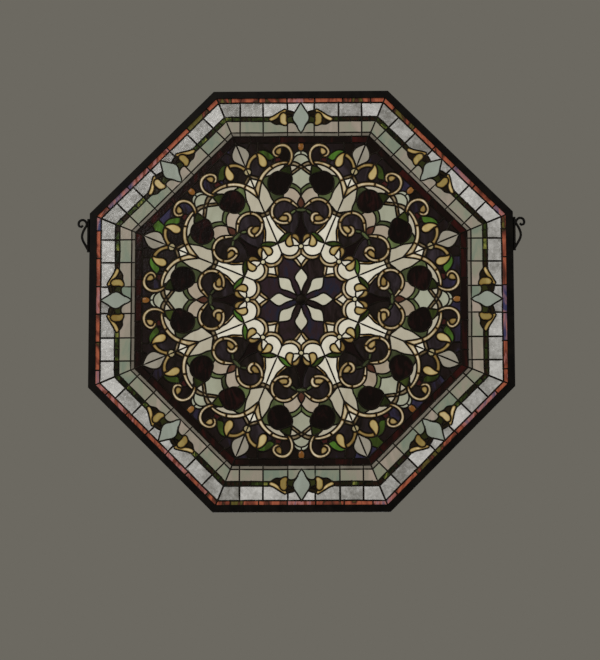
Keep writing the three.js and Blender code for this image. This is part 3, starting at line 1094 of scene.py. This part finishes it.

# %% [markdown]
# ## Clear glass with a grain
#
# The band of clear tiles is rolled glass: transparent, with a fine grain that breaks up
# whatever is behind it. A thin transparent shader would show the room behind unbroken, so
# this one has the refraction of solid glass. The grain is a strong bump and a slightly grey
# colour with painted light and shade: lighter and darker in the grain and in larger
# patches, for the light behind as the grain breaks it up, and lighter or darker from tile
# to tile.

# %% Rolled clear glass
def rolled_glass(name, grain):
    finish = Finish(name)
    number, spot = cut_from_sheet(finish)
    fine = finish.noise(spot, grain, 4.0, 0.8)
    patches = finish.noise(spot, grain * 0.16, 2.0)
    # painted light and shade: the grain's noise, which also makes the bump, and larger
    # patches make this colour lighter and darker
    painted_grain_tint = finish.colours(fine * 0.8 + patches * 0.6 + (number - 0.5) * 0.35 - 0.22,
                          (0.2, (138, 136, 130)), (0.8, (240, 239, 236)))
    bump = finish.node("Bump", output="Normal", Height=fine, Strength=0.8,
                       Distance=0.001)
    return finish.surface(Base_Color=painted_grain_tint, Transmission_Weight=1.0, IOR=1.5,
                          Roughness=0.1, Normal=bump)


sheets["clear_tiles"] = rolled_glass("rolled clear", 150)
for kind, piece in glass.items():
    dress(piece, sheets[kind])
print(len(sheets), "kinds of glass")

# %% [markdown]
# ## Metal
#
# Old came is dark and dull, rubbed a little brighter in patches, and its solder is
# brighter still. The channel frame and the rods are painted iron. One function makes all
# three, because they differ only in colour, gloss and how uneven they are.

# %% Came, solder and painted iron
def metal(name, dull, worn, rough, ripple):
    finish = Finish(name)
    spot = finish.place()
    patches = finish.noise(spot, 35, 5.0, 0.6)
    colour = finish.colours(patches, (0.35, dull), (0.75, worn))
    bump = finish.node("Bump", output="Normal", Height=finish.noise(spot, 420, 2.0),
                       Strength=ripple, Distance=0.0006)
    return finish.surface(Base_Color=colour, Metallic=0.85,
                          Roughness=patches * 0.25 + rough, Normal=bump)


came_metal = metal("patinated came", (22, 18, 14), (44, 37, 28), 0.36, 0.3)
solder_metal = metal("patinated solder", (30, 26, 21), (60, 54, 46), 0.26, 0.6)
iron = metal("painted iron", (14, 12, 11), (30, 26, 22), 0.4, 0.25)
for piece in (rosette_came, border_came, hub):
    dress(piece, came_metal)
dress(solder, solder_metal)
for piece in hooks:
    dress(piece, iron)
for slot in frame["nodes"]["frame"].material_slots:
    slot.material = iron
print("metal on", 4 + len(hooks), "new pieces and on the packed frame")

# %% [markdown]
# ## What stands for what
#
# Every new piece rides on the part's one body and stands for the packed pieces whose
# place it takes. Most kinds of glass lie in the rosette's ground, so only the others are
# listed.

# %% What the kinds of glass stand for
def numbered(stem, count):
    return [f"{stem}_{i}" for i in range(1, count + 1)]


GROUND = ["rosette_ground_glass"]
FLOWER = ("flower_glass", numbered("border_flower_glass", 8))
stands_for = {
    "star_petals": ("white_glass", numbered("star_petal_glass", 8)),
    "opal_white": ("white_glass", GROUND),
    "lily_white": ("white_glass", GROUND),
    "corner_white": ("white_glass", GROUND),
    "roses": ("rose_glass", numbered("rose_glass", 16)),
    "border_flowers": FLOWER,
    "border_leaves": FLOWER,
    "long_leaves": FLOWER,
    "border_greens": FLOWER,
    "border_darks": FLOWER,
    "red_band": ("red_glass", ["red_band_glass"]),
    "milky_line": ("pale_glass", ["red_band_glass"]),
    "pale_tiles": ("pale_glass", numbered("pale_band_glass", 8)),
    "vine": ("pale_glass", numbered("pale_band_glass", 8)),
    "clear_tiles": ("clear_glass", numbered("clear_band_glass", 8)),
    "edge_strip": ("edge_glass", ["edge_strip_glass"]),
}
print(len(stands_for), "kinds listed,", len(glass) - len(stands_for), "in the ground")

# %% Rides and replaced pieces
for kind, piece in glass.items():
    slot, nodes = stands_for.get(kind, ("ground_glass", GROUND))
    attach(piece, "root")
    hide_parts(*nodes)
for piece in (rosette_came, border_came, solder, hub):
    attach(piece, "root")
    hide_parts("lead_matrix")
for piece, node in zip(hooks, ("hook_right", "hook_left")):
    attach(piece, "root")
    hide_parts(node)
print(len(glass) + len(hooks) + 4, "new pieces ride on the part's body")

# %% [markdown]
# ## The room
#
# The panel hangs in an empty grey room, over a plain pale floor. A wide soft light over
# the viewer's left shoulder and a weaker one from the right show the lead's roundness. A
# third one behind the panel shines through the clear tiles. It is hidden from the camera
# itself, which sees it only through the glass.

# %% The floor
FLOOR_SIZE, UNDER_CENTRE = 14, 1.15
bpy.ops.object.select_all(action="DESELECT")
bpy.ops.mesh.primitive_plane_add(size=FLOOR_SIZE,
                                 location=(0, 0, CENTRE_Z - UNDER_CENTRE))
floor = bpy.context.object
floor.name = "floor"
bpy.ops.object.transform_apply()
plaster = Finish("pale floor")
faint = plaster.noise(plaster.place(), 3.0, 2.0)
shade = plaster.colours(faint, (0.3, (208, 206, 200)), (0.7, (216, 214, 208)))
dress(floor, plaster.surface(Base_Color=shade, Roughness=0.9))
print("floor", UNDER_CENTRE, "m under the panel's centre")


# %% Soft lights and the grey room
def soft_light(name, location, target, size, power):
    bpy.ops.object.select_all(action="DESELECT")
    bpy.ops.object.light_add(type="AREA", location=location)
    light = bpy.context.object
    light.name = name
    light.data.shape, light.data.size = "SQUARE", size
    light.data.energy = power
    light.rotation_euler = (Vector(target) - Vector(location)).to_track_quat(
        "-Z", "Y").to_euler()
    return light


MIDDLE = (0, 0.3, -0.2)
soft_light("over the shoulder", (-1.6, -2.6, 1.6), MIDDLE, 2.2, 44)
soft_light("from the right", (2.4, -1.8, 0.6), MIDDLE, 1.6, 14)
behind = soft_light("behind the panel", (0, 0.45, CENTRE_Z), (0, -1, CENTRE_Z), 1.7, 4.6)
behind.visible_camera = False
world = bpy.data.worlds.new("soft room")
bpy.context.scene.world = world
world.use_nodes = True
background = world.node_tree.nodes["Background"]
background.inputs["Color"].default_value = tone((108, 105, 97))
background.inputs["Strength"].default_value = 1.0

# %% [markdown]
# ## The camera
#
# The panel hangs above eye level, so the camera stands below its centre and looks up. It
# is far away with a long lens, which keeps the octagon's sides nearly parallel.

# %% A long lens from below
eye = Vector((0.0914, -5.0, CENTRE_Z - 0.737))
aim = Vector((-0.0026, 0, CENTRE_Z - 0.0662))
TILT = -0.0017                   # a hand-held camera is never quite level
camera_data = bpy.data.cameras.new("camera")
camera_data.lens = 128.1
camera = bpy.data.objects.new("camera", camera_data)
bpy.context.scene.collection.objects.link(camera)
camera.location = eye
camera.rotation_euler = (aim - eye).to_track_quat("-Z", "Y").to_euler()
camera.rotation_euler.rotate_axis("Z", TILT)
bpy.context.scene.camera = camera
bpy.context.scene.view_settings.view_transform = "Standard"
print(f"camera {(aim - eye).length:.2f} m away")

# %% [markdown]
# ## The size
#
# Glass, lead and rods have to stay within the packed model's box.

# %% The size
print("the panel, its room and its camera are set up")
